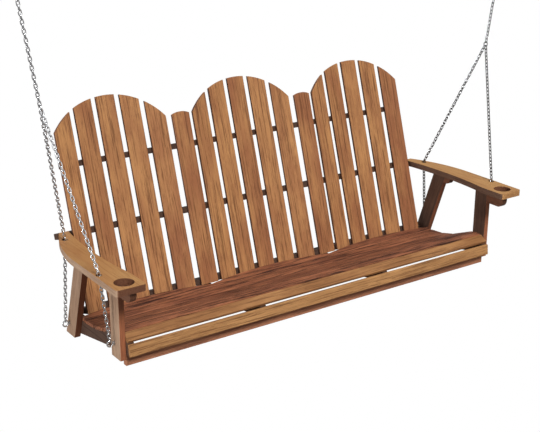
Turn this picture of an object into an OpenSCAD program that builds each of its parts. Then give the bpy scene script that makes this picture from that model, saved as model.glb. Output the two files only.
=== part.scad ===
// Porch swing seat: three fan crowns of back slats, a scooped slatted seat,
// wide arms with cup holes, and zinc chains up to two ceiling hooks.
// The origin lies on the swing axis, midway between the two ceiling hooks.
// +X runs along the seat, to the right as seen from the front; +Y to the back; +Z up.

/* [Seat frame] */
// Clear width between the inner faces of the uprights
seat_w = 1830; // [1500:5:2100]
// Thickness of the sawn boards: uprights, stringers, brackets
board_t = 25; // [20:1:32]
// Width of the uprights
upright_w = 72; // [60:1:90]
// Height of the arms' underside above the foot of the front uprights
arm_z = 314; // [280:1:360]
// Lean of the rear uprights, top forward, in degrees
rear_lean = 18.7; // [10:0.1:24]
// Place of the rear uprights' centre line at the arms' underside, from the front edge
rear_upright_y = 310; // [290:1:330]
// Depth of the rear uprights' feet below the feet of the front ones
rear_foot_drop = 64; // [50:1:80]

/* [Seat] */
// Radius of the scooped part of the seat
scoop_r = 483; // [420:1:560]
// Place of the lowest line of the scoop, from the front edge
scoop_y = 344.5; // [335:0.5:355]
// Height of the lowest line of the scoop
scoop_z = 30.7; // [24:0.1:40]
// Number of slats across the scoop
scoop_slats = 4; // [3:1:5]
// Width of one scoop slat
scoop_slat_w = 73; // [60:1:80]
// Thickness of the seat slats
seat_slat_t = 14; // [12:0.5:20]
// Gap between neighbouring seat slats
seat_gap = 3; // [2:0.5:6]
// Gap above the front slat, through which water drains
drain_gap = 17; // [15:0.5:22]
// Rounding of the long edges of the boards
edge_r = 3; // [1:0.5:5]
// Gap from the seat's shaped rear edge to the back slats
rear_gap = 12.7; // [8:0.1:18]
// Height of the front apron
apron_h = 49; // [40:1:60]
// Thickness of the front apron
apron_t = 22; // [18:1:28]
// Setback of the apron from the front edge of the uprights
apron_y = 3; // [0:1:10]

/* [Back] */
// Recline of the back from upright, in degrees
recline = 17.4; // [12:0.1:22]
// Distance between the middles of two crowns
crown_pitch = 629; // [600:1:640]
// Radius on which the slats of one crown stand
crown_depth_r = 1418; // [1200:1:2000]
// Distance between the middles of neighbouring slats in a crown
back_pitch = 104.5; // [100:0.5:108]
// Width of the back slats
back_slat_w = 84; // [70:1:90]
// Thickness of the back slats
back_slat_t = 12; // [10:0.5:16]
// Radius of a crown's rounded top
crown_r = 318; // [280:1:400]
// Height of a crown's top above the back's reference line, along the slats
crown_top = 569; // [520:1:620]
// Height of the two filler slats above the same line, at their corners
filler_top = 446; // [400:1:480]
// Rise of a filler slat's rounded top
filler_rise = 10; // [4:1:20]
// How far the filler slats stand in front of the middle slats
filler_fwd = 31.5; // [28:0.5:36]
// Depth of the slats' feet below the reference line
back_foot = 281; // [275:1:290]
// Thickness of the back rails, along the slats
rail_t = 24; // [18:1:30]
// Depth of the back rails behind the middle slats
rail_depth = 38; // [30:1:60]
// Height of the upper rail's middle above the reference line
upper_rail_v = 315.5; // [280:0.5:340]

/* [Arms] */
// Thickness of the arms
arm_t = 25.5; // [20:0.5:32]
// Widest width of an arm
arm_w = 119; // [105:1:130]
// How far an arm stands in from the inner face of its uprights
arm_in = 31; // [25:1:34]
// How far the arms reach in front of the uprights
arm_front = 120; // [110:1:140]
// Radius of the arms' curved outer edge
arm_outer_r = 650; // [600:5:900]
// Place where the outer edge starts to curve, from the front edge
arm_curve_y = 215; // [190:1:240]
// Hollow of the arms' inner edge
arm_waist = 20; // [10:1:30]
// Radius of an arm's corners
arm_corner_r = 12; // [6:1:20]
// Diameter of the cup holes
cup_d = 75; // [60:1:84]
// Place of a cup hole's middle, in front of the uprights
cup_y = 63; // [58:1:68]
// Diameter of the chain holes
chain_hole_d = 24; // [22:1:27]

/* [Chain and hooks] */
// Nominal pitch of the chain, which is a link's inner length
link_pitch = 16; // [14:0.5:20]
// Diameter of the chain's wire
link_wire = 4; // [3:0.1:4.5]
// Inner width of a link
link_inner = 7; // [6.6:0.1:8]
// Play between two links, and between a link and what it hangs on
play = 0.3; // [0.2:0.05:0.5]
// Diameter of the wire of the junction rings
ring_wire = 5; // [4:0.1:6]
// Inner diameter of the junction rings
ring_inner = 16; // [15:0.5:20]
// Diameter of the wire of the eye bolts' eyes
eye_wire = 6; // [5:0.1:6.4]
// Inner diameter of the eyes
eye_inner = 18; // [16:0.5:24]
// Diameter of the eye bolts' shanks
bolt_d = 8; // [6:0.5:10]
// Diameter of the ceiling hooks' wire
hook_wire = 10; // [8:0.5:11]
// Radius of a hook's bend, to the middle of the wire
hook_bend_r = 18; // [17:0.5:24]
// Distance between the two ceiling hooks
hook_spacing = 2298; // [2100:1:2500]
// Distance between the two junctions, where each side's chains meet
junction_spacing = 2175; // [2000:1:2300]
// Height of the junctions above the foot of the front uprights
junction_z = 933; // [850:1:1000]
// Place of the junctions, from the front edge
junction_y = 237; // [225:1:250]
// Height of the swing axis above the foot of the front uprights
hang_z = 1350; // [1250:5:1500]

/* [Hidden] */

$fn = 48;
LEFT = -1;
RIGHT = 1;
half_w = seat_w / 2;
far = 3000;

// Colours of the finishes
back_wood = [0.63, 0.42, 0.25];
seat_wood = [0.55, 0.34, 0.21];
light_wood = [0.72, 0.53, 0.34];
dark_wood = [0.40, 0.25, 0.17];
grey_wood = [0.60, 0.49, 0.39];
zinc = [0.78, 0.79, 0.80];

// ---- Places -------------------------------------------------------------

// Measures below are taken from the seat's own corner: X from the middle,
// Y from the front edge of the front uprights, Z from their feet.
module seat_frame() {
    translate([0, -junction_y, -hang_z])
        children();
}

// The back's reference line, on the front face of the middle slats, where
// the arms' underside meets it; +Z then runs up along the slats
back_ref_y = 496.7;
back_ref_z = 287.9;
module back_frame() {
    translate([0, back_ref_y, back_ref_z])
        rotate([-recline, 0, 0])
            children();
}

// Puts a side profile, drawn as [y, z], upright between x and x + thickness
module side_board(x, thickness) {
    translate([x, 0, 0])
        rotate([90, 0, 90])
            linear_extrude(thickness)
                children();
}

// Left edge of a board that stands outside (or inside) the line x = side * from
function board_x(side, from, thickness) = side > 0 ? from : -from - thickness;

// ---- Board sections ------------------------------------------------------

// Rectangle from the origin to [w, h] with rounded corners of radius r
module eased_rect(w, h, r) {
    translate([r, 0])
        square([w - 2 * r, h]);
    translate([0, r])
        square([w, h - 2 * r]);
    for (x = [r, w - r], y = [r, h - r])
        translate([x, y])
            circle(r, $fn = 24);
}

// ---- Back ----------------------------------------------------------------

slat_turn = back_pitch / crown_depth_r * 180 / PI;
filler_top_r = (pow(back_slat_w / 2, 2) + pow(filler_rise, 2)) / (2 * filler_rise);

// Each slat as [x, forward, turn] of the middle of its front face
function crown_slat(crown, k) = [
    crown * crown_pitch + crown_depth_r * sin(k * slat_turn),
    crown_depth_r * (1 - cos(k * slat_turn)),
    k * slat_turn
];
function filler_slat(side) = [side * crown_pitch / 2, filler_fwd, 0];
back_slats = concat(
    [for (k = [-2 : 2]) crown_slat(-1, k)],
    [filler_slat(LEFT)],
    [for (k = [-2 : 2]) crown_slat(0, k)],
    [filler_slat(RIGHT)],
    [for (k = [-2 : 2]) crown_slat(1, k)]
);

// A corner of a slat's rear face as [x, y] in the back's own frame
function rear_corner(slat, side) = [
    slat[0] + side * back_slat_w / 2 * cos(slat[2]) + back_slat_t * sin(slat[2]),
    -slat[1] - side * back_slat_w / 2 * sin(slat[2]) + back_slat_t * cos(slat[2])
];

// A slat standing on its feet, as tall as its blank
module slat_blank(slat) {
    translate([slat[0], -slat[1], -back_foot])
        rotate([0, 0, -slat[2]])
            translate([-back_slat_w / 2, 0, 0])
                linear_extrude(back_foot + crown_top)
                    eased_rect(back_slat_w, back_slat_t, edge_r);
}

// What a crown's round top leaves, with its middle line on X = 0
module crown_outline() {
    rotate([90, 0, 0])
        cylinder(h = 4 * back_slat_t, r = crown_r, center = true, $fn = 180);
    translate([-crown_r, -2 * back_slat_t, -crown_top - back_foot])
        cube([2 * crown_r, 4 * back_slat_t, crown_top + back_foot]);
}

// Slats are numbered from the left, five to a crown
module back_slat(number) {
    crown = floor((number - 1) / 5) - 1;
    k = (number - 1) % 5 - 2;
    slat = crown_slat(crown, k);
    color(back_wood)
        seat_frame()
            back_frame()
                intersection() {
                    slat_blank(slat);
                    translate([slat[0], -slat[1], crown_top - crown_r])
                        rotate([0, 0, -slat[2]])
                            translate([-k * back_pitch, 0, 0])
                                crown_outline();
                }
}

module filler(side) {
    slat = filler_slat(side);
    round_z = filler_top + filler_rise - filler_top_r;
    color(back_wood)
        seat_frame()
            back_frame()
                intersection() {
                    slat_blank(slat);
                    union() {
                        translate([slat[0], -slat[1], round_z])
                            rotate([90, 0, 0])
                                cylinder(h = 4 * back_slat_t, r = filler_top_r, center = true, $fn = 120);
                        translate([slat[0] - back_slat_w, -slat[1] - 2 * back_slat_t, -back_foot])
                            cube([2 * back_slat_w, 4 * back_slat_t, back_foot + round_z]);
                    }
                }
}

// Outer edge of the outermost slats, with the clearance to the arms
slat_reach = rear_corner(crown_slat(1, 2), 1)[0] + 0.3;
rail_back_y = back_slat_t + rail_depth;
upper_rail_half = slat_reach - back_slat_w / 4;
middle_rail_half = half_w + 17;
// The middle rail is as high as the arms, which butt on its front edge
middle_rail_v = (arm_z - back_ref_z + rail_t / 2 * cos(recline) + back_slat_t * sin(recline)) / cos(recline);
lower_rail_v = -back_foot + rail_t / 2;

// Rear corners of all the slats, from the left
slat_corners = [for (slat = back_slats, side = [LEFT, RIGHT]) rear_corner(slat, side)];

// Front edge of a rail that runs past the slats to both sides
function long_rail_front(half_length) = concat(
    [[-half_length, back_slat_t], [-slat_reach, back_slat_t]],
    slat_corners,
    [[slat_reach, back_slat_t], [half_length, back_slat_t]]
);

// Where the upper rail ends, on the rear face of the outermost slat
function upper_rail_end(side) =
    let (slat = crown_slat(side, 2 * side))
    let (a = rear_corner(slat, -side))
    let (b = rear_corner(slat, side))
    let (share = (upper_rail_half - abs(a[0])) / (abs(b[0]) - abs(a[0])))
    a + share * (b - a);
upper_rail_front = concat(
    [upper_rail_end(LEFT)],
    [for (i = [1 : len(slat_corners) - 2]) slat_corners[i]],
    [upper_rail_end(RIGHT)]
);

// A rail behind the slats, whose front edge steps along their rear faces
module back_rail(v, front, half_length) {
    color(dark_wood)
        seat_frame()
            back_frame()
                translate([0, 0, v - rail_t / 2])
                    linear_extrude(rail_t)
                        polygon(concat(front, [[half_length, rail_back_y], [-half_length, rail_back_y]]));
}

module long_back_rail(v, half_length) {
    back_rail(v, long_rail_front(half_length), half_length);
}

// ---- Seat ----------------------------------------------------------------

// Each row of the seat as [y, z, heading, width]: the rear end of its top face,
// its slope (heading is positive where it climbs to the front) and its width.
scoop_centre_z = scoop_z + scoop_r;
row_turn = (scoop_slat_w + seat_gap) / scoop_r * 180 / PI;
scoop_rear_angle = -1 * row_turn;
nose_headings = [22, 2, -28, -84];
nose_widths = [53.6, 42.6, 44, 47];
// Gaps at the top, wide enough that the undersides of the tilted rows stay apart
nose_gaps = [4, 4.4, 6.4, drain_gap];

function scoop_row(i) =
    let (mid = scoop_rear_angle + (i + 0.5) * row_turn)
    let (y = scoop_y - scoop_r * sin(mid))
    let (z = scoop_centre_z - scoop_r * cos(mid))
    [y + scoop_slat_w / 2 * cos(mid), z - scoop_slat_w / 2 * sin(mid), mid, scoop_slat_w];
function row_end(row) = [row[0] - row[3] * cos(row[2]), row[1] + row[3] * sin(row[2])];
function next_row(row, heading, width, gap) =
    let (middle = (row[2] + heading) / 2)
    let (end = row_end(row))
    [end[0] - gap * cos(middle), end[1] + gap * sin(middle), heading, width];
scoop_rows = [for (i = [0 : scoop_slats - 1]) scoop_row(i)];
function nose_row(i) =
    next_row(
        i == 0 ? scoop_rows[scoop_slats - 1] : nose_row(i - 1),
        nose_headings[i], nose_widths[i], nose_gaps[i]
    );
nose_rows = [for (i = [0 : 3]) nose_row(i)];
seat_rows = concat(scoop_rows, nose_rows);

// Underside corners of a row, rear one first
function under(row) =
    let (down = [-sin(row[2]) * seat_slat_t, -cos(row[2]) * seat_slat_t])
    let (end = row_end(row))
    [[row[0] + down[0], row[1] + down[1]], [end[0] + down[0], end[1] + down[1]]];

// One row of the seat as a board between the uprights
module seat_board(row) {
    seat_frame()
        translate([0, row[0], row[1]])
            rotate([-row[2], 0, 0])
                translate([-half_w, -row[3], -seat_slat_t])
                    rotate([90, 0, 90])
                        linear_extrude(seat_w)
                            eased_rect(row[3], seat_slat_t, edge_r);
}

// The front face of the back slats where the seat meets them
seat_back_y = back_ref_y - (back_ref_z - scoop_z) * tan(recline);

module seat_rear_slat() {
    rear = scoop_rows[0];
    color(seat_wood)
        intersection() {
            seat_board(rear);
            seat_frame()
                for (crown = [-1 : 1])
                    translate([crown * crown_pitch, seat_back_y - rear_gap - crown_depth_r, 0])
                        cylinder(h = 4 * scoop_slat_w, r = crown_depth_r, center = true, $fn = 720);
        }
}

module seat_slat(i) {
    color(seat_wood)
        seat_board(seat_rows[i]);
}

module light_slat(i) {
    color(light_wood)
        seat_board(seat_rows[i]);
}

// ---- Stringers -----------------------------------------------------------

stringer_rear_y = 478;
stringer_fall = 0.194;
front_row_under = under(nose_rows[3]);
apron_top_z = front_row_under[1][1];
stringer_heel_y = apron_y + apron_t + 9;

// Where lines through p and q with the headings a and b cross
function crossing(p, a, q, b) =
    let (s = ((q[0] - p[0]) * sin(b) + (q[1] - p[1]) * cos(b)) / sin(a - b))
    [p[0] - s * cos(a), p[1] + s * sin(a)];

// The stringer's top between two rows: one corner where the seat turns down,
// and a short flat where the rows lie nearly in line
function top_corners(row, next) =
    let (end = under(row)[1])
    let (start = under(next)[0])
    row[2] - next[2] > 10 ? [crossing(end, row[2], start, next[2])] : [end, start];

module stringer_profile() {
    last = len(seat_rows) - 1;
    tops = concat(
        [under(seat_rows[0])[0]],
        [for (i = [0 : last - 1]) each top_corners(seat_rows[i], seat_rows[i + 1])],
        [under(seat_rows[last])[1]]
    );
    foot_z = apron_top_z - stringer_fall * (stringer_rear_y - stringer_heel_y);
    difference() {
        polygon(concat(
            [[stringer_rear_y, tops[0][1]]],
            tops,
            [[stringer_heel_y, apron_top_z]],
            [[stringer_rear_y, foot_z]]
        ));
        translate([back_ref_y, back_ref_z])
            rotate(-recline)
                translate([-crown_r, -back_foot])
                    square([2 * crown_r, crown_r]);
    }
}

module stringer(x) {
    color(dark_wood)
        seat_frame()
            difference() {
                side_board(x, board_t)
                    stringer_profile();
                eye_bolt_bores();
            }
}

module apron() {
    color(seat_wood)
        seat_frame()
            translate([-half_w, apron_y, apron_top_z - apron_h])
                rotate([90, 0, 90])
                    linear_extrude(seat_w)
                        eased_rect(apron_t, apron_h, edge_r);
}

// ---- Uprights and brackets -------------------------------------------------

rear_w = upright_w / cos(rear_lean);
rear_drop = arm_z + rear_foot_drop;
rear_foot_y = rear_upright_y + rear_drop * tan(rear_lean);
// Front edge of a rear upright at height z
function rear_front_y(z) = rear_upright_y - rear_w / 2 + (arm_z - z) * tan(rear_lean);

module front_upright(side) {
    color(grey_wood)
        seat_frame()
            difference() {
                translate([board_x(side, half_w, board_t), 0, 0])
                    linear_extrude(arm_z)
                        eased_rect(board_t, upright_w, edge_r);
                eye_bolt_bores();
            }
}

module rear_upright(side) {
    color(grey_wood)
        seat_frame()
            difference() {
                side_board(board_x(side, half_w, board_t), board_t)
                    polygon([
                        [rear_upright_y - rear_w / 2, arm_z],
                        [rear_upright_y + rear_w / 2, arm_z],
                        [rear_foot_y + rear_w / 2, -rear_foot_drop],
                        [rear_foot_y - rear_w / 2, -rear_foot_drop]
                    ]);
                eye_bolt_bores();
            }
}

front_bracket_l = 100;
front_bracket_h = 50;
front_bracket_r = 32;
rear_bracket_l = 32;
rear_bracket_h = 30;
rear_bracket_r = 20;

// A bracket under an arm: square at the back, round at its lower front corner
module bracket_profile(length, height, radius) {
    intersection() {
        square([length, height]);
        union() {
            translate([radius, 0])
                square([length, height]);
            translate([0, radius])
                square([length, height]);
            translate([radius, radius])
                circle(radius);
        }
    }
}

module front_bracket(side) {
    color(dark_wood)
        seat_frame()
            side_board(board_x(side, half_w, board_t), board_t)
                translate([-front_bracket_l, arm_z - front_bracket_h])
                    bracket_profile(front_bracket_l, front_bracket_h, front_bracket_r);
}

module rear_bracket(side) {
    foot_y = rear_front_y(arm_z - rear_bracket_h);
    color(dark_wood)
        seat_frame()
            side_board(board_x(side, half_w, board_t), board_t)
                difference() {
                    translate([rear_front_y(arm_z) - rear_bracket_l, arm_z - rear_bracket_h])
                        bracket_profile(
                            rear_bracket_l + foot_y - rear_front_y(arm_z), rear_bracket_h, rear_bracket_r
                        );
                    polygon([
                        [rear_front_y(arm_z), arm_z],
                        [foot_y, arm_z - rear_bracket_h],
                        [foot_y + rear_w, arm_z - rear_bracket_h],
                        [foot_y + rear_w, arm_z]
                    ]);
                }
}

// ---- Arms ------------------------------------------------------------------

arm_inner_x = half_w - arm_in;
arm_outer_x = arm_inner_x + arm_w;
arm_rear_y = back_ref_y + (arm_z + arm_t - back_ref_z + back_slat_t / sin(recline)) * tan(recline);
cup_x = arm_inner_x + arm_w / 2;
front_hole = [half_w + 72.5, 46];
rear_hole = [half_w + 21.7, 443.4];
waist_half = arm_rear_y / 2;
waist_r = (pow(waist_half, 2) + pow(arm_waist, 2)) / (2 * arm_waist);

module arm_outline() {
    difference() {
        union() {
            translate([arm_inner_x, -arm_front])
                eased_rect(arm_w, arm_front + arm_curve_y, arm_corner_r);
            translate([arm_inner_x, 0])
                square([arm_w, arm_curve_y]);
            intersection() {
                translate([arm_inner_x, arm_curve_y])
                    square([arm_w, arm_rear_y - arm_curve_y]);
                translate([arm_outer_x - arm_outer_r, arm_curve_y])
                    circle(arm_outer_r, $fn = 240);
            }
        }
        translate([arm_inner_x + arm_waist - waist_r, waist_half])
            circle(waist_r, $fn = 360);
    }
}

module arm(side) {
    color(light_wood)
        seat_frame()
            difference() {
                translate([0, 0, arm_z])
                    mirror([side > 0 ? 0 : 1, 0, 0])
                        linear_extrude(arm_t)
                            arm_outline();
                translate([side * cup_x, -cup_y, arm_z - 1])
                    cylinder(h = arm_t + 2, d = cup_d, $fn = 72);
                translate([side * front_hole[0], front_hole[1], arm_z - 1])
                    cylinder(h = arm_t + 2, d = chain_hole_d);
                translate([side * rear_hole[0], rear_hole[1], arm_z - 1])
                    cylinder(h = arm_t + 2, d = chain_hole_d);
                // The rear end is cut along the middle rail's front edge
                back_frame()
                    translate([-far / 2, back_slat_t, -far / 2])
                        cube([far, far / 2, far]);
            }
}

// ---- Eye bolts -------------------------------------------------------------

front_eye = [44, 60];
rear_eye = [438, -12];
eye_ring_r = (eye_inner + eye_wire) / 2;
eye_shoulder = 3;
eye_x = half_w + board_t + eye_shoulder + eye_ring_r + eye_wire / 2;
bolt_play = 0.3;
washer_t = 2;
washer_d = 22;
nut_t = 6.5;
nut_w = 13;
bolt_end = 3;
washer_x = half_w - board_t - washer_t;
nut_x = washer_x - nut_t;

module at_each_eye_bolt() {
    for (side = [LEFT, RIGHT], place = [front_eye, rear_eye])
        translate([0, place[0], place[1]])
            mirror([side > 0 ? 0 : 1, 0, 0])
                rotate([0, 90, 0])
                    children();
}

module eye_bolt_bores() {
    at_each_eye_bolt()
        translate([0, 0, half_w - 2 * board_t])
            cylinder(h = 4 * board_t, d = bolt_d + 2 * bolt_play);
}

module eye_bolt_set() {
    shank_from = nut_x - bolt_end;
    shank_to = eye_x - eye_ring_r;
    color(zinc)
        seat_frame()
            at_each_eye_bolt() {
                translate([0, 0, shank_from])
                    cylinder(h = shank_to - shank_from, d = bolt_d);
                translate([0, 0, half_w + board_t])
                    cylinder(h = eye_shoulder - 0.5, d = bolt_d + 6);
                translate([0, 0, eye_x])
                    rotate([90, 0, 0])
                        rotate_extrude($fn = 64)
                            translate([eye_ring_r, 0])
                                circle(d = eye_wire, $fn = 24);
            }
}

module washer_set() {
    color(zinc)
        seat_frame()
            at_each_eye_bolt()
                translate([0, 0, washer_x])
                    difference() {
                        cylinder(h = washer_t, d = washer_d);
                        translate([0, 0, -1])
                            cylinder(h = washer_t + 2, d = bolt_d + 2 * bolt_play);
                    }
}

module nut_set() {
    color(zinc)
        seat_frame()
            at_each_eye_bolt()
                translate([0, 0, nut_x])
                    difference() {
                        cylinder(h = nut_t, d = nut_w / cos(30), $fn = 6);
                        translate([0, 0, -1])
                            cylinder(h = nut_t + 2, d = bolt_d + 2 * bolt_play);
                    }
}

// ---- Chain -----------------------------------------------------------------

function unit(v) = v / norm(v);

// A bow or a leg of a link that stands round the origin, with its long axis
// along Z and its bows in the XZ plane
module link_wire_piece(pitch, bow) {
    bow_r = (link_inner + link_wire) / 2;
    straight = pitch + play - link_inner;
    if (bow)
        translate([0, 0, straight / 2])
            rotate([90, 0, 0])
                rotate_extrude(angle = 180, $fn = 48)
                    translate([bow_r, 0])
                        circle(d = link_wire, $fn = 24);
    else
        translate([bow_r, 0, -straight / 2])
            cylinder(h = straight, d = link_wire, $fn = 24);
}

// Takes what stands round the origin to a link's place between two contact
// points; a wide link spreads along X
module at_link(from, to, wide) {
    along = unit(to - from);
    across = unit([1, 0, 0] - along[0] * along);
    beside = cross(along, across);
    u = wide ? across : beside;
    v = wide ? beside : -across;
    middle = (from + to) / 2;
    multmatrix([
        [u[0], v[0], along[0], middle[0]],
        [u[1], v[1], along[1], middle[1]],
        [u[2], v[2], along[2], middle[2]]
    ])
        children();
}

// Links along a list of contact points; the first link spreads along X
module chain(points) {
    for (i = [0 : len(points) - 2], turn = [0, 180], bow = [true, false])
        at_link(points[i], points[i + 1], i % 2 == 0)
            rotate([0, turn, 0])
                link_wire_piece(norm(points[i + 1] - points[i]), bow);
}

// Contact points on a straight run, with both ends
function run(from, to, links) = [for (i = [0 : links]) from + (to - from) * i / links];

// A run that bends at a corner, where one link lies across the bend
function bent_run(from, corner, to, odd) =
    let (first = unit(corner - from))
    let (last = unit(to - corner))
    let (reach = link_pitch / 2 / (norm(first + last) / 2))
    let (upper_end = corner - reach * first)
    let (lower_start = corner + reach * last)
    let (upper = round(norm(upper_end - from) / link_pitch))
    let (wish = round(norm(to - lower_start) / link_pitch))
    let (lower = (upper + 1 + wish) % 2 == (odd ? 1 : 0) ? wish : wish + 1)
    concat(run(from, upper_end, upper), run(lower_start, to, lower));

// ---- Junctions -------------------------------------------------------------

// A side's swing geometry, on the right-hand side
hook_point = [hook_spacing / 2, junction_y, hang_z];
junction = [junction_spacing / 2, junction_y, junction_z];
hang_dir = unit(junction - hook_point);
corner_lift = 3;
front_corner = [front_hole[0], front_hole[1], arm_z + arm_t + corner_lift];
rear_corner_point = [rear_hole[0], rear_hole[1], arm_z + arm_t + corner_lift];
front_end = [eye_x, front_eye[0], front_eye[1] + eye_inner / 2 - play / 2];
rear_end_point = [eye_x, rear_eye[0], rear_eye[1] + eye_inner / 2 - play / 2];

// The junction ring hangs in a plane that holds Y and leans as the V of chains does
v_middle = (front_corner + rear_corner_point) / 2;
ring_down = unit([v_middle[0] - junction[0], 0, v_middle[2] - junction[2]]);
ring_r = (ring_inner + ring_wire) / 2;
// The junction point is the middle of the last hanger link's lower bow
ring_centre = junction + ring_down * (ring_inner / 2 - link_wire / 2 - play);
spread = 22;
function on_ring(angle) =
    ring_centre + (ring_inner / 2 - play / 2) * (cos(angle) * ring_down + sin(angle) * [0, 1, 0]);

// The hanger ring lies over the hook's wire, whose middle is the hook point
hanger_ring_wire = 6;
hanger_ring_inner = 20;
hanger_ring_r = (hanger_ring_inner + hanger_ring_wire) / 2;
hanger_ring_centre = hook_point + hang_dir * (hanger_ring_inner / 2 - hook_wire / 2 - play);
hanger_from = hanger_ring_centre + hang_dir * (hanger_ring_inner / 2 - play / 2);
hanger_to = junction - hang_dir * (link_wire / 2 + play / 2);
hanger_wish = round(norm(hanger_to - hanger_from) / link_pitch);
hanger_links = hanger_wish % 2 == 1 ? hanger_wish : hanger_wish + 1;

// Draws what belongs to one side of the swing
module on_side(side) {
    color(zinc)
        seat_frame()
            mirror([side > 0 ? 0 : 1, 0, 0])
                children();
}

// A ring whose plane holds Y and the direction down
module hanging_ring(centre, down, middle_r, wire) {
    translate(centre)
        rotate([0, atan2(down[0], down[2]), 0])
            rotate([0, 90, 0])
                rotate_extrude($fn = 64)
                    translate([middle_r, 0])
                        circle(d = wire, $fn = 24);
}

module front_chain(side) {
    on_side(side)
        chain(bent_run(on_ring(-spread), front_corner, front_end, false));
}

module rear_chain(side) {
    on_side(side)
        chain(bent_run(on_ring(spread), rear_corner_point, rear_end_point, false));
}

module junction_ring(side) {
    on_side(side)
        hanging_ring(ring_centre, ring_down, ring_r, ring_wire);
}

module hanger_chain(side) {
    on_side(side)
        chain(run(hanger_from, hanger_to, hanger_links));
}

module hanger_ring(side) {
    on_side(side)
        hanging_ring(hanger_ring_centre, hang_dir, hanger_ring_r, hanger_ring_wire);
}

// ---- Ceiling hooks ---------------------------------------------------------

hook_flange_d = 30;
hook_flange_t = 3;
hook_shank = 70;
// How far the bend closes past level at its tip
hook_tip_turn = 20;
// Slope at which the bend passes into the neck
hook_neck_turn = 45;
hook_neck_r = hook_bend_r * sin(hook_neck_turn) / (1 - cos(hook_neck_turn));
hook_neck_z = hook_bend_r * (1 + cos(hook_neck_turn)) + hook_neck_r * sin(hook_neck_turn);

// An arc of round wire in the XZ plane, from one angle to another; seam is where
// round the wire its outline starts, and is the same line where two arcs meet
module wire_arc(radius, from, to, wire, seam) {
    rotate([90, 0, 0])
        rotate([0, 0, from])
            rotate_extrude(angle = to - from, $fn = 64)
                translate([radius, 0])
                    rotate(seam)
                        circle(d = wire, $fn = 24);
}

// A screw hook: bend in the XZ plane, flange against the ceiling, shank above it
module ceiling_hook(side) {
    on_side(side)
        translate(hook_point - hook_bend_r * hang_dir - [0, 0, hook_bend_r]) {
            translate([0, 0, hook_bend_r])
                wire_arc(hook_bend_r, 90 + hook_neck_turn, 360 + hook_tip_turn, hook_wire, 0);
            translate([-hook_neck_r, 0, hook_neck_z])
                wire_arc(hook_neck_r, -hook_neck_turn, 0, hook_wire, 180);
            translate([0, 0, hook_neck_z])
                cylinder(h = hook_flange_t + hook_shank, d = hook_wire, $fn = 24);
            translate([0, 0, hook_neck_z])
                cylinder(h = hook_flange_t, d = hook_flange_d);
        }
}

// ---- Nodes -----------------------------------------------------------------

back_slat(1);  // back_slat_01
back_slat(2);  // back_slat_02
back_slat(3);  // back_slat_03
back_slat(4);  // back_slat_04
back_slat(5);  // back_slat_05
back_slat(6);  // back_slat_06
back_slat(7);  // back_slat_07
back_slat(8);  // back_slat_08
back_slat(9);  // back_slat_09
back_slat(10);  // back_slat_10
back_slat(11);  // back_slat_11
back_slat(12);  // back_slat_12
back_slat(13);  // back_slat_13
back_slat(14);  // back_slat_14
back_slat(15);  // back_slat_15
filler(LEFT);  // filler_slat_left
filler(RIGHT);  // filler_slat_right
back_rail(upper_rail_v, upper_rail_front, upper_rail_half);  // upper_back_rail
long_back_rail(middle_rail_v, middle_rail_half);  // middle_back_rail
long_back_rail(lower_rail_v, half_w);  // lower_back_rail
stringer(-half_w);  // stringer_left_end
stringer(-(crown_pitch + board_t) / 2);  // stringer_left_inner
stringer((crown_pitch - board_t) / 2);  // stringer_right_inner
stringer(half_w - board_t);  // stringer_right_end
seat_rear_slat();  // seat_slat_rear
seat_slat(1);  // seat_slat_2
seat_slat(2);  // seat_slat_3
seat_slat(3);  // seat_slat_4
seat_slat(scoop_slats);  // crest_slat_rear
seat_slat(scoop_slats + 1);  // crest_slat_front
light_slat(scoop_slats + 2);  // nose_slat
light_slat(scoop_slats + 3);  // front_slat
apron();  // front_apron
front_upright(LEFT);  // front_upright_left
front_upright(RIGHT);  // front_upright_right
rear_upright(LEFT);  // rear_upright_left
rear_upright(RIGHT);  // rear_upright_right
arm(LEFT);  // arm_left
arm(RIGHT);  // arm_right
front_bracket(LEFT);  // front_bracket_left
front_bracket(RIGHT);  // front_bracket_right
rear_bracket(LEFT);  // rear_bracket_left
rear_bracket(RIGHT);  // rear_bracket_right
eye_bolt_set();  // eye_bolts
washer_set();  // eye_bolt_washers
nut_set();  // eye_bolt_nuts
front_chain(LEFT);  // front_chain_left
front_chain(RIGHT);  // front_chain_right
rear_chain(LEFT);  // rear_chain_left
rear_chain(RIGHT);  // rear_chain_right
junction_ring(LEFT);  // junction_ring_left
junction_ring(RIGHT);  // junction_ring_right
hanger_chain(LEFT);  // hanger_chain_left
hanger_chain(RIGHT);  // hanger_chain_right
hanger_ring(LEFT);  // hanger_ring_left
hanger_ring(RIGHT);  // hanger_ring_right
ceiling_hook(LEFT);  // ceiling_hook_left
ceiling_hook(RIGHT);  // ceiling_hook_right
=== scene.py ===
"""Porch swing seat: finishes, light and camera, set on the shared frame."""
import math
import random

import bmesh
import bpy
from mathutils import Matrix, Vector


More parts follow.
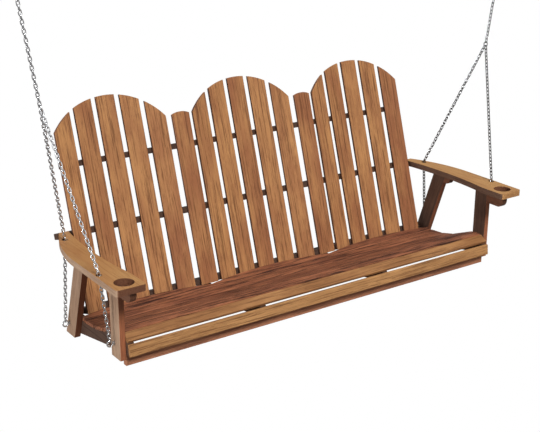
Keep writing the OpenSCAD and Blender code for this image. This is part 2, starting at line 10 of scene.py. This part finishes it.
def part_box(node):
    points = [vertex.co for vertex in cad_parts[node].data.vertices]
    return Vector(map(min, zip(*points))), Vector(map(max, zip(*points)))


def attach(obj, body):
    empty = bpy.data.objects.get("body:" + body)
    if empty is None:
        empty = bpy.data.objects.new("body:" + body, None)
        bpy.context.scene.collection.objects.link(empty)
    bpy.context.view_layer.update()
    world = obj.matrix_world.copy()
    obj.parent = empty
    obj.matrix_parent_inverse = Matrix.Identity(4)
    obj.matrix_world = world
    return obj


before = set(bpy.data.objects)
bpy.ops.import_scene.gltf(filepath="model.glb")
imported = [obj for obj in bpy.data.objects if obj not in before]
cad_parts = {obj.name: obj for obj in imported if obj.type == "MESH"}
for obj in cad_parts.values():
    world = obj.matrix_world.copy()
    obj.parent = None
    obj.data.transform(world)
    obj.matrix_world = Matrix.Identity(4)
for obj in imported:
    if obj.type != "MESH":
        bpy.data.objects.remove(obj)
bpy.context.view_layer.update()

# Lean of the back and of the rear uprights
RECLINE = math.radians(17.4)
REAR_LEAN = math.radians(18.7)

# Directions that boards lie along or face
TO_THE_RIGHT = (1, 0, 0)
TO_THE_REAR = (0, 1, 0)
UPWARDS = (0, 0, 1)
UP_THE_BACK = (0, math.sin(RECLINE), math.cos(RECLINE))
OUT_OF_BACK = (0, -math.cos(RECLINE), math.sin(RECLINE))
UP_THE_REAR = (0, -math.sin(REAR_LEAN), math.cos(REAR_LEAN))
OUT_OF_NOSE = (0, -0.5, 0.86)

RAILS = ("upper_back_rail", "middle_back_rail", "lower_back_rail")


# ---- Node helpers ------------------------------------------------------------------

# Sockets of a Mix node that mixes colours
MIX_FACTOR, MIX_A, MIX_B, MIX_RESULT = 0, 6, 7, 2


def put(tree, kind):
    return tree.nodes.new(kind)


def is_output(value):
    return hasattr(value, "is_output")


def feed(tree, socket, value):
    """Links the socket to another node's output, or gives it a plain value."""
    if is_output(value):
        tree.links.new(value, socket)
    else:
        socket.default_value = value


def math_node(tree, operation, *values, clamp=False):
    node = put(tree, "ShaderNodeMath")
    node.operation = operation
    node.use_clamp = clamp
    for socket, value in zip(node.inputs, values):
        feed(tree, socket, value)
    return node.outputs[0]


def vector_node(tree, operation, a, b):
    node = put(tree, "ShaderNodeVectorMath")
    node.operation = operation
    feed(tree, node.inputs[0], a)
    feed(tree, node.inputs[1], b)
    return node.outputs[0]


def split_vector(tree, vector):
    node = put(tree, "ShaderNodeSeparateXYZ")
    tree.links.new(vector, node.inputs[0])
    return node.outputs


def noise(tree, vector, per_metre, detail, roughness):
    """A noise value; per_metre says how fine it is along X, Y and Z."""
    node = put(tree, "ShaderNodeTexNoise")
    node.inputs["Scale"].default_value = 1.0
    node.inputs["Detail"].default_value = detail
    node.inputs["Roughness"].default_value = roughness
    tree.links.new(vector_node(tree, "MULTIPLY", vector, per_metre), node.inputs["Vector"])
    return node.outputs["Fac"]


def ramp(tree, value, low, high, eased=True):
    """0 below low, 1 above high, and an eased or even rise between them."""
    node = put(tree, "ShaderNodeMapRange")
    node.interpolation_type = "SMOOTHSTEP" if eased else "LINEAR"
    node.inputs["From Min"].default_value = low
    node.inputs["From Max"].default_value = high
    tree.links.new(value, node.inputs["Value"])
    return node.outputs["Result"]


def mix_colour(tree, factor, a, b):
    """a where factor is 0 and b where it is 1; each is an output or a linear RGB."""
    node = put(tree, "ShaderNodeMix")
    node.data_type = "RGBA"
    feed(tree, node.inputs[MIX_FACTOR], factor)
    for index, colour in ((MIX_A, a), (MIX_B, b)):
        feed(tree, node.inputs[index], colour if is_output(colour) else (*colour, 1.0))
    return node.outputs[MIX_RESULT]


def own_colour(tree):
    """The piece's own colour: Red seeds its grain and Green sets its tone."""
    node = put(tree, "ShaderNodeSeparateColor")
    tree.links.new(put(tree, "ShaderNodeObjectInfo").outputs["Color"], node.inputs[0])
    return node.outputs


def new_material(name):
    material = bpy.data.materials.new(name)
    material.use_nodes = True
    material.node_tree.nodes.clear()
    return material, material.node_tree


def set_surface(tree, shader):
    tree.links.new(shader.outputs[0], put(tree, "ShaderNodeOutputMaterial").inputs["Surface"])


# ---- Wood --------------------------------------------------------------------------

# Noises: how fine they are along the grain, across the board and through it, per metre
PATCHES = dict(per_metre=(4.6, 13.0, 13.0), detail=3.0, roughness=0.55)
WANDER = dict(per_metre=(1.7, 6.0, 6.0), detail=2.0, roughness=0.5)
RAGGED = dict(per_metre=(9.0, 120.0, 120.0), detail=2.0, roughness=0.6)
HAIRS = dict(per_metre=(4.0, 145.0, 145.0), detail=4.0, roughness=0.75)
DASHES = dict(per_metre=(30.0, 620.0, 620.0), detail=2.0, roughness=0.65)
GATE = dict(per_metre=(7.0, 70.0, 70.0), detail=2.0, roughness=0.5)
FIGURE = dict(per_metre=(5.0, 95.0, 95.0), detail=3.0, roughness=0.6)

# Noise values between which each mask rises from 0 to 1
TONE_LIMITS = (0.34, 0.66)
LINE_LIMITS = (0.5, 0.62)
DASH_LIMITS = (0.52, 0.64)
GATE_LIMITS = (0.35, 0.6)
FLAME_LIMITS = (0.52, 0.64)

# Way from one seed's wood to the next one's, in metres
SEED_STEP = (3.7, 1.9, 2.3)
# The seeds run from 0 to this
SEED_REACH = 9.0

# The growth rings' pith: PITH_SEED turns a seed into its place across the board, and
# the spread of those places, its depth and how far it wanders are in metres
PITH_SEED = 7.31
PITH_SPREAD = 0.11
PITH_DEPTH = 0.045
PITH_WANDER = 0.085
# Growth rings: how ragged they are, in rings, and the power that makes each one sharp
RINGS_PER_M = 165.0
RING_RAGGED = 1.1
RING_SHARPNESS = 2.4

# Height of each mask's marks, in shares of BUMP_M
LINE_HEIGHT = -0.5
PORE_HEIGHT = -0.6
RING_HEIGHT = -0.3
BUMP_M = 0.0006
BUMP_STRENGTH = 0.3

# Share of a board's tone that its patches have, and the shine of oiled wood
PATCH_TONE = 0.7
WOOD_SPECULAR = 0.18
WOOD_ROUGHNESS = 0.56
LINE_ROUGHNESS = 0.14

MASKS = ("Tone", "Rings", "Lines", "Pores", "Flames", "Height")


def wood_masks():
    """Masks of sawn wood. Vector's X runs along the grain, Y across the board and Z
    through it, in metres; Seed moves each board to wood of its own."""
    tree = bpy.data.node_groups.new("Wood masks", "ShaderNodeTree")
    tree.interface.new_socket("Vector", in_out="INPUT", socket_type="NodeSocketVector")
    tree.interface.new_socket("Seed", in_out="INPUT", socket_type="NodeSocketFloat")
    for mask in MASKS:
        tree.interface.new_socket(mask, in_out="OUTPUT", socket_type="NodeSocketFloat")
    given = put(tree, "NodeGroupInput").outputs
    out = put(tree, "NodeGroupOutput").inputs
    link = tree.links.new
    shift = vector_node(tree, "MULTIPLY", given["Seed"], SEED_STEP)
    place = vector_node(tree, "ADD", given["Vector"], shift)

    # Patches of tone, longer along the grain than across it
    patches = noise(tree, place, **PATCHES)
    link(ramp(tree, patches, *TONE_LIMITS, eased=False), out["Tone"])

    # Growth rings: distance from a pith that wanders along the board
    board = split_vector(tree, given["Vector"])
    seeded = math_node(tree, "MULTIPLY", given["Seed"], PITH_SEED)
    side = math_node(tree, "SUBTRACT", math_node(tree, "FRACT", seeded), 0.5)
    across = math_node(tree, "MULTIPLY_ADD", side, PITH_SPREAD, board["Y"])
    wander = noise(tree, place, **WANDER)
    bent = math_node(tree, "MULTIPLY_ADD", wander, PITH_WANDER, across)
    deep = math_node(tree, "ADD", board["Z"], PITH_DEPTH)
    square = math_node(tree, "MULTIPLY", bent, bent)
    radius = math_node(tree, "SQRT", math_node(tree, "MULTIPLY_ADD", deep, deep, square))
    ragged = math_node(tree, "MULTIPLY", noise(tree, place, **RAGGED), RING_RAGGED)
    turns = math_node(tree, "MULTIPLY_ADD", radius, RINGS_PER_M, ragged)
    rings = math_node(tree, "POWER", math_node(tree, "FRACT", turns), RING_SHARPNESS)
    link(rings, out["Rings"])

    # Lines: dark hair lines a few millimetres apart
    lines = ramp(tree, noise(tree, place, **HAIRS), *LINE_LIMITS)
    link(lines, out["Lines"])

    # Pores: short fine dashes, thicker in some places than in others
    dashes = ramp(tree, noise(tree, place, **DASHES), *DASH_LIMITS)
    gate = ramp(tree, noise(tree, place, **GATE), *GATE_LIMITS)
    pores = math_node(tree, "MULTIPLY", dashes, gate)
    link(pores, out["Pores"])

    # Flames: long dark figure, in a few places only
    link(ramp(tree, noise(tree, place, **FIGURE), *FLAME_LIMITS), out["Flames"])

    height = math_node(tree, "MULTIPLY", lines, LINE_HEIGHT)
    height = math_node(tree, "MULTIPLY_ADD", pores, PORE_HEIGHT, height)
    link(math_node(tree, "MULTIPLY_ADD", rings, RING_HEIGHT, height), out["Height"])
    return tree


WOOD_MASKS = wood_masks()

# Colours are linear. light and dark are the two ends of a board's tone; pore is
# what lines, pores and flames pull it towards.
BACK = dict(light=(0.51, 0.252, 0.097), dark=(0.3, 0.118, 0.051), pore=(0.12, 0.043, 0.019))
SEAT = dict(light=(0.43, 0.165, 0.077), dark=(0.2, 0.069, 0.037), pore=(0.035, 0.013, 0.01))
FRONT = dict(light=(0.535, 0.28, 0.112), dark=(0.285, 0.13, 0.049), pore=(0.12, 0.048, 0.019))
ARM = dict(light=(0.44, 0.24, 0.088), dark=(0.31, 0.135, 0.046), pore=(0.18, 0.07, 0.027))
RED = dict(light=(0.44, 0.16, 0.075), dark=(0.26, 0.092, 0.044), pore=(0.08, 0.026, 0.013))
# APRON is partly painted light: the apron's own red-brown, made lighter to offset the shade under
# the front slat
APRON = dict(light=(0.56, 0.245, 0.13), dark=(0.4, 0.165, 0.09), pore=(0.12, 0.045, 0.028))
# SHADE_UMBER and SHADE_BROWN are painted shade: dark copies of the wood's colour for faces that
# lie in gaps, recesses and the shade of other parts
SHADE_UMBER = dict(light=(0.2, 0.085, 0.045), dark=(0.11, 0.045, 0.026), pore=(0.04, 0.015, 0.009))
SHADE_BROWN = dict(light=(0.125, 0.068, 0.044), dark=(0.07, 0.037, 0.025), pore=(0.025, 0.012, 0.009))
# SHEEN_GREY is a painted sheen: a paler, greyer copy of the wood for faces that look outward
SHEEN_GREY = dict(light=(0.49, 0.335, 0.225), dark=(0.33, 0.2, 0.127), pore=(0.13, 0.072, 0.045))

# Cosines between which a face comes to count as looking a way
FACING_LIMITS = {
    "up": (0.6, 0.8),
    "rearward": (0.5, 0.75),
    "sideways": (0.45, 0.7),
    "outward": (0.35, 0.75),
    "inward": (0.35, 0.75),
}

# The cup holes' axes, which stand at plus and minus CUP_X, and the reach of their walls, within
# which the wood gets painted shade
CUP_X = 0.9435
CUP_Y = -0.3
CUP_REACH = 0.042


def cup_hole_mask(tree, place):
    x = math_node(tree, "SUBTRACT", math_node(tree, "ABSOLUTE", place["X"]), CUP_X)
    y = math_node(tree, "SUBTRACT", place["Y"], CUP_Y)
    square = math_node(tree, "MULTIPLY_ADD", x, x, math_node(tree, "MULTIPLY", y, y))
    return math_node(tree, "LESS_THAN", square, CUP_REACH ** 2)


def facing_mask(tree, facing):
    """1 on the faces that look the way named, or that lie around a cup hole's axis."""
    coordinates = put(tree, "ShaderNodeTexCoord").outputs
    normal = split_vector(tree, coordinates["Normal"])
    place = split_vector(tree, coordinates["Object"])
    if facing == "cup hole":
        return cup_hole_mask(tree, place)
    if facing == "up":
        cosine = normal["Z"]
    elif facing == "rearward":
        cosine = normal["Y"]
    elif facing == "sideways":
        cosine = math_node(tree, "ABSOLUTE", normal["X"])
    else:
        side = math_node(tree, "SIGN", place["X"])
        cosine = math_node(tree, "MULTIPLY", side, normal["X"])
        if facing == "inward":
            cosine = math_node(tree, "MULTIPLY", cosine, -1.0)
    return ramp(tree, cosine, *FACING_LIMITS[facing])


def board_coordinates(tree, along, through):
    """Object coordinates turned so that X runs along the grain and Z through the board."""
    x = Vector(along).normalized()
    z = Vector(through).normalized()
    turn = put(tree, "ShaderNodeMapping")
    turn.inputs["Rotation"].default_value = tuple(Matrix((x, z.cross(x), z)).to_euler("XYZ"))
    tree.links.new(put(tree, "ShaderNodeTexCoord").outputs["Object"], turn.inputs["Vector"])
    return turn.outputs["Vector"]


def wood(name, colours, along, through, lines=0.4, pores=0.45, rings=0.25, flames=0.2, faces=()):
    """A wood finish for boards that lie along and face through.

    lines, pores, rings and flames are the shares of these masks, and faces pairs
    a facing with the colours that its faces have, the last one on top.
    """
    material, tree = new_material(name)
    link = tree.links.new
    own = own_colour(tree)
    masks = put(tree, "ShaderNodeGroup")
    masks.node_tree = WOOD_MASKS
    link(board_coordinates(tree, along, through), masks.inputs["Vector"])
    link(math_node(tree, "MULTIPLY", own["Red"], SEED_REACH), masks.inputs["Seed"])
    masked_faces = [(facing_mask(tree, facing), other) for facing, other in faces]

    def tint(end):
        colour = colours[end]
        for mask, other in masked_faces:
            colour = mix_colour(tree, mask, colour, other[end])
        return colour

    patches = math_node(tree, "MULTIPLY_ADD", masks.outputs["Tone"], PATCH_TONE, -PATCH_TONE / 2)
    tone = math_node(tree, "ADD", patches, own["Green"], clamp=True)
    dark = tint("dark")
    pore = tint("pore")
    colour = mix_colour(tree, tone, dark, tint("light"))
    for mask, share, towards in (
        ("Rings", rings, dark),
        ("Flames", flames, pore),
        ("Lines", lines, pore),
        ("Pores", pores, pore),
    ):
        amount = math_node(tree, "MULTIPLY", masks.outputs[mask], share)
        colour = mix_colour(tree, amount, colour, towards)

    shader = put(tree, "ShaderNodeBsdfPrincipled")
    shader.inputs["Specular IOR Level"].default_value = WOOD_SPECULAR
    link(colour, shader.inputs["Base Color"])
    rough = math_node(
        tree, "MULTIPLY_ADD", masks.outputs["Lines"], LINE_ROUGHNESS, WOOD_ROUGHNESS
    )
    link(rough, shader.inputs["Roughness"])
    bump = put(tree, "ShaderNodeBump")
    bump.inputs["Strength"].default_value = BUMP_STRENGTH
    bump.inputs["Distance"].default_value = BUMP_M
    link(masks.outputs["Height"], bump.inputs["Height"])
    link(bump.outputs["Normal"], shader.inputs["Normal"])
    set_surface(tree, shader)
    return material


ARM_SHARES = dict(lines=0.3, pores=0.3, rings=0.15, flames=0.1)
# Arms: painted sheen on the outward faces, painted shade on the inward faces and inside the cup
# holes, and the arm's own colour on top
ARM_FACES = [("outward", SHEEN_GREY), ("inward", SHADE_BROWN), ("cup hole", SHADE_UMBER), ("up", ARM)]
UPRIGHT_SHARES = dict(lines=0.4, pores=0.3)
# Uprights: painted sheen on the outward faces and painted shade on the inward faces
UPRIGHT_FACES = [("outward", SHEEN_GREY), ("inward", SHADE_BROWN)]

# The back slats' side faces get painted shade, where they face each other across the gaps
BACK_WOOD = wood(
    "Back wood", BACK, UP_THE_BACK, OUT_OF_BACK,
    lines=0.75, pores=0.6, rings=0.3, flames=0.12, faces=[("sideways", SHADE_UMBER)],
)
SEAT_WOOD = wood(
    "Seat wood", SEAT, TO_THE_RIGHT, UPWARDS, lines=0.95, pores=0.6, rings=0.5, flames=0.9
)
FRONT_WOOD = wood("Front wood", FRONT, TO_THE_RIGHT, OUT_OF_NOSE, lines=0.75, pores=0.5)
APRON_WOOD = wood(
    "Apron wood", APRON, TO_THE_RIGHT, TO_THE_REAR, lines=0.4, pores=0.4, rings=0.4, flames=0.4
)
# The left arm's front, rear and under faces are painted shade in dark umber; the right arm's take
# the front slat's colour
LEFT_ARM_WOOD = wood("Arm wood", SHADE_UMBER, TO_THE_REAR, UPWARDS, **ARM_SHARES, faces=ARM_FACES)
RIGHT_ARM_WOOD = wood(
    "Right arm wood", FRONT, TO_THE_REAR, UPWARDS, **ARM_SHARES, faces=ARM_FACES
)
# The rails are painted shade in dark brown, but for their rear faces, which keep the red-brown
# wood colour
RAIL_WOOD = wood("Rail wood", SHADE_BROWN, TO_THE_RIGHT, UPWARDS, faces=[("rearward", RED)])
# Stringers and brackets are painted shade, dark brown and dark umber all over
STRINGER_WOOD = wood("Stringer wood", SHADE_BROWN, TO_THE_REAR, TO_THE_RIGHT)
BRACKET_WOOD = wood("Bracket wood", SHADE_UMBER, TO_THE_REAR, TO_THE_RIGHT)
UPRIGHT_WOOD = wood(
    "Upright wood", RED, UPWARDS, TO_THE_RIGHT, **UPRIGHT_SHARES, faces=UPRIGHT_FACES
)
REAR_UPRIGHT_WOOD = wood(
    "Rear upright wood", RED, UP_THE_REAR, TO_THE_RIGHT, **UPRIGHT_SHARES, faces=UPRIGHT_FACES
)


# ---- Metal -------------------------------------------------------------------------

# A piece's tone runs from 0 for dark wood, or for zinc darkened with painted shade, to 1 for light
# wood
PLAIN_TONE = 0.5

ZINC_COLOUR = (0.74, 0.75, 0.77)
# Painted shade: the dark colour that the zinc takes on pieces whose tone is low
ZINC_PAINTED_SHADE = (0.2, 0.2, 0.205)
ZINC_ROUGHNESS = 0.16
# Cloudy spots on the zinc, and how much they change its colour and its shine
CLOUDS = dict(per_metre=(160.0, 160.0, 160.0), detail=3.0, roughness=0.6)
CLOUD_LIMITS = (0.35, 0.65)
CLOUD_DULL = 0.8
CLOUD_BRIGHT = 1.08
CLOUD_ROUGHNESS = 0.16


def zinc():
    """Zinc plating, darkened with painted shade on pieces whose tone is below PLAIN_TONE."""
    material, tree = new_material("Bright zinc")
    clouds = noise(tree, put(tree, "ShaderNodeTexCoord").outputs["Object"], **CLOUDS)
    dull = tuple(c * CLOUD_DULL for c in ZINC_COLOUR)
    bright = tuple(c * CLOUD_BRIGHT for c in ZINC_COLOUR)
    colour = mix_colour(tree, ramp(tree, clouds, *CLOUD_LIMITS), dull, bright)
    unshaded = ramp(tree, own_colour(tree)["Green"], 0.0, PLAIN_TONE, eased=False)
    colour = mix_colour(tree, unshaded, ZINC_PAINTED_SHADE, colour)
    shader = put(tree, "ShaderNodeBsdfPrincipled")
    shader.inputs["Metallic"].default_value = 1.0
    tree.links.new(colour, shader.inputs["Base Color"])
    smoothest = ZINC_ROUGHNESS - CLOUD_ROUGHNESS / 2
    rough = math_node(tree, "MULTIPLY_ADD", clouds, CLOUD_ROUGHNESS, smoothest)
    tree.links.new(rough, shader.inputs["Roughness"])
    set_surface(tree, shader)
    return material


ZINC = zinc()


# ---- Dressing the nodes ------------------------------------------------------------

# Finish by the start of a node's name; the rest is zinc
FINISHES = {
    "back_slat": BACK_WOOD,
    "filler_slat": BACK_WOOD,
    "seat_slat": SEAT_WOOD,
    "crest_slat": SEAT_WOOD,
    "nose_slat": FRONT_WOOD,
    "front_slat": FRONT_WOOD,
    "front_apron": APRON_WOOD,
    "arm_left": LEFT_ARM_WOOD,
    "arm_right": RIGHT_ARM_WOOD,
    "front_upright": UPRIGHT_WOOD,
    "rear_upright": REAR_UPRIGHT_WOOD,
    "front_bracket": BRACKET_WOOD,
    "rear_bracket": BRACKET_WOOD,
    "stringer": STRINGER_WOOD,
    **dict.fromkeys(RAILS, RAIL_WOOD),
}

# Tones that aren't PLAIN_TONE. The low tones of rear_upright_left and of the rails are painted
# shade, and those of the right-hand chains and junction ring are painted shade on their zinc
TONES = {
    "back_slat_01": 0.65, "back_slat_02": 0.45, "back_slat_03": 0.55, "back_slat_04": 0.65,
    "back_slat_05": 0.3, "filler_slat_left": 0.3, "back_slat_06": 0.7, "back_slat_07": 0.6,
    "back_slat_08": 0.35, "back_slat_09": 0.55, "back_slat_10": 0.6, "filler_slat_right": 0.25,
    "back_slat_11": 0.6, "back_slat_12": 0.45, "back_slat_13": 0.55, "back_slat_14": 0.5,
    "back_slat_15": 0.0, "nose_slat": 0.15, "front_slat": 0.7, "arm_right": 0.75,
    "front_upright_left": 0.25, "rear_upright_left": 0.1, **dict.fromkeys(RAILS, 0.0),
    "front_chain_right": 0.0, "rear_chain_right": 0.0, "hanger_chain_right": 0.1,
    "junction_ring_right": 0.1,
}

draw = random.Random(7)
for name, piece in sorted(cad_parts.items()):
    fitting = [FINISHES[start] for start in FINISHES if name.startswith(start)]
    piece.data.materials.clear()
    piece.data.materials.append(fitting[0] if fitting else ZINC)
    piece.color = (draw.random(), TONES.get(name, PLAIN_TONE), 0.0, 1.0)


# ---- Screws behind the back --------------------------------------------------------

# Head of a raised countersunk screw with a square drive, in metres
HEAD_R = 0.0042
HEAD_SIDES = 24
DRIVE_HALF = 0.0013
DRIVE_FLOOR = 0.0002
DRIVE_RIM = 0.00115
# Radius and height of each ring of the head, from the rim of the drive outwards
HEAD_RINGS = [(0.0026, 0.00105), (0.0035, 0.00075), (0.0041, 0.0003), (HEAD_R, 0.0)]
COUNTERSINK = [(HEAD_R, -0.0003), (0.002, -0.0024)]


def drive_radius(angle):
    """Distance from the middle of the square drive to its side."""
    return DRIVE_HALF / max(abs(math.cos(angle)), abs(math.sin(angle)))


def screw_head(mesh, place):
    """Adds a closed head to the bmesh; place turns it and puts it on the wood."""
    angles = [(i + 0.5) * 2 * math.pi / HEAD_SIDES for i in range(HEAD_SIDES)]
    rings = [[(drive_radius(a), a, height) for a in angles] for height in (DRIVE_FLOOR, DRIVE_RIM)]
    rings += [[(radius, a, height) for a in angles] for radius, height in HEAD_RINGS + COUNTERSINK]
    rows = []
    for ring in rings:
        points = [Vector((r * math.cos(a), r * math.sin(a), height)) for r, a, height in ring]
        rows.append([mesh.verts.new(place @ point) for point in points])
    for row, beyond in zip(rows, rows[1:]):
        for i in range(HEAD_SIDES):
            j = (i + 1) % HEAD_SIDES
            mesh.faces.new((row[i], beyond[i], beyond[j], row[j]))
    mesh.faces.new(rows[0])
    mesh.faces.new(rows[-1][::-1])


def rail_screws(rail, boards):
    """A row of screws in the rear face of a rail, one behind each board."""
    along = Vector(UP_THE_BACK)
    rearward = -Vector(OUT_OF_BACK)
    right = Vector(TO_THE_RIGHT)
    corners = [vertex.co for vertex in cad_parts[rail].data.vertices]
    heights = [corner.dot(along) for corner in corners]
    face = max(corner.dot(rearward) for corner in corners)
    middle = (min(heights) + max(heights)) / 2
    turn = Matrix((right, rearward.cross(right), rearward)).transposed().to_4x4()
    mesh = bmesh.new()
    for board in boards:
        low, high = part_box(board)
        at = along * middle + rearward * face
        at.x = (low[0] + high[0]) / 2
        screw_head(mesh, Matrix.Translation(at) @ turn)
    bmesh.ops.recalc_face_normals(mesh, faces=mesh.faces)
    data = bpy.data.meshes.new(rail + "_screws")
    mesh.to_mesh(data)
    mesh.free()
    data.materials.append(ZINC)
    screws = bpy.data.objects.new(rail + "_screws", data)
    screws.color = (0.0, PLAIN_TONE, 0.0, 1.0)
    bpy.context.scene.collection.objects.link(screws)
    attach(screws, "seat")


BACK_BOARDS = [name for name in sorted(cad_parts) if name.startswith(("back_slat", "filler"))]
for rail in RAILS:
    rail_screws(rail, BACK_BOARDS)


# ---- Light and floor ---------------------------------------------------------------


def sun(name, towards, strength, spread_deg, colour):
    lamp = bpy.data.lights.new(name, "SUN")
    lamp.energy = strength
    lamp.angle = math.radians(spread_deg)
    lamp.color = colour
    held = bpy.data.objects.new(name, lamp)
    held.rotation_mode = "QUATERNION"
    held.rotation_quaternion = Vector(towards).to_track_quat("-Z", "Y")
    bpy.context.scene.collection.objects.link(held)


sun("Key", (0.08, 0.95, -1.0), strength=2.95, spread_deg=18, colour=(1.0, 0.985, 0.96))
sun("Side", (1.0, 0.0, -0.03), strength=2.1, spread_deg=6, colour=(0.96, 0.98, 1.0))

WHITE = (1.0, 1.0, 1.0)

# What lights the wood: dark below, brighter above, and brightest at the rear, with
# the heights and the ways to the rear between which one turns into the other
AMBIENT_BELOW = (0.03, 0.029, 0.028)
AMBIENT_ABOVE = (0.42, 0.42, 0.43)
AMBIENT_RISE = (-0.2, 0.8)
AMBIENT_REAR = (1.5, 1.5, 1.5)
AMBIENT_TURN = (0.1, 0.9)

# What the zinc mirrors: a bright band around the horizon, and grey at the rear
MIRRORED_BAND = (1.2, 1.2, 1.2)
MIRRORED_ELSEWHERE = (0.02, 0.02, 0.02)
MIRRORED_EDGE = (0.2, 0.55)
MIRRORED_REAR = (0.22, 0.22, 0.22)
MIRRORED_TURN = (-0.3, 0.4)


def studio_world():
    world = bpy.data.worlds.new("Studio")
    bpy.context.scene.world = world
    world.use_nodes = True
    tree = world.node_tree
    tree.nodes.clear()
    looking = split_vector(tree, put(tree, "ShaderNodeTexCoord").outputs["Generated"])

    raised = ramp(tree, looking["Z"], *AMBIENT_RISE)
    ambient = mix_colour(tree, raised, AMBIENT_BELOW, AMBIENT_ABOVE)
    ambient = mix_colour(tree, ramp(tree, looking["Y"], *AMBIENT_TURN), ambient, AMBIENT_REAR)

    steep = ramp(tree, math_node(tree, "ABSOLUTE", looking["Z"]), *MIRRORED_EDGE)
    mirrored = mix_colour(tree, steep, MIRRORED_BAND, MIRRORED_ELSEWHERE)
    mirrored = mix_colour(tree, ramp(tree, looking["Y"], *MIRRORED_TURN), mirrored, MIRRORED_REAR)

    rays = put(tree, "ShaderNodeLightPath").outputs
    shade = mix_colour(tree, rays["Is Glossy Ray"], ambient, mirrored)
    shade = mix_colour(tree, rays["Is Camera Ray"], shade, WHITE)
    studio = put(tree, "ShaderNodeBackground")
    tree.links.new(shade, studio.inputs["Color"])
    tree.links.new(studio.outputs[0], put(tree, "ShaderNodeOutputWorld").inputs["Surface"])


studio_world()

# The floor lies half a metre below the feet of the front uprights
FLOOR_Z = -1.85
FLOOR_REACH = 30.0
FLOOR_COLOUR = (0.2, 0.195, 0.19)


def white_floor():
    """A pale floor that the camera sees as plain white."""
    mesh = bpy.data.meshes.new("Floor")
    signs = [(-1, -1), (1, -1), (1, 1), (-1, 1)]
    corners = [(x * FLOOR_REACH, y * FLOOR_REACH, FLOOR_Z) for x, y in signs]
    mesh.from_pydata(corners, [], [(0, 1, 2, 3)])
    floor = bpy.data.objects.new("Floor", mesh)
    bpy.context.scene.collection.objects.link(floor)
    material, tree = new_material("Floor")
    pale = put(tree, "ShaderNodeBsdfDiffuse")
    pale.inputs["Color"].default_value = (*FLOOR_COLOUR, 1.0)
    plain = put(tree, "ShaderNodeEmission")
    plain.inputs["Color"].default_value = (*WHITE, 1.0)
    seen = put(tree, "ShaderNodeMixShader")
    tree.links.new(put(tree, "ShaderNodeLightPath").outputs["Is Camera Ray"], seen.inputs[0])
    tree.links.new(pale.outputs[0], seen.inputs[1])
    tree.links.new(plain.outputs[0], seen.inputs[2])
    set_surface(tree, seen)
    mesh.materials.append(material)


white_floor()


# ---- Camera ------------------------------------------------------------------------

CAMERA_AT = Vector((-2.5431, -3.4981, 0.4983))
LOOK_AT = Vector((-0.13428, -0.037, -1.00103))
CAMERA_ROLL = math.radians(0.24)
LENS_MM = 72.57
SENSOR_MM = 36.0
NEAREST_M = 0.05
FARTHEST_M = 200.0

lens = bpy.data.cameras.new("Camera")
lens.lens = LENS_MM
lens.sensor_width = SENSOR_MM
lens.clip_start = NEAREST_M
lens.clip_end = FARTHEST_M
camera = bpy.data.objects.new("Camera", lens)
bpy.context.scene.collection.objects.link(camera)
bpy.context.scene.camera = camera
camera.rotation_mode = "QUATERNION"
camera.location = CAMERA_AT
aim = (LOOK_AT - CAMERA_AT).to_track_quat("-Z", "Y")
camera.rotation_quaternion = aim @ Matrix.Rotation(CAMERA_ROLL, 4, "Z").to_quaternion()

bpy.context.scene.view_settings.view_transform = "Standard"
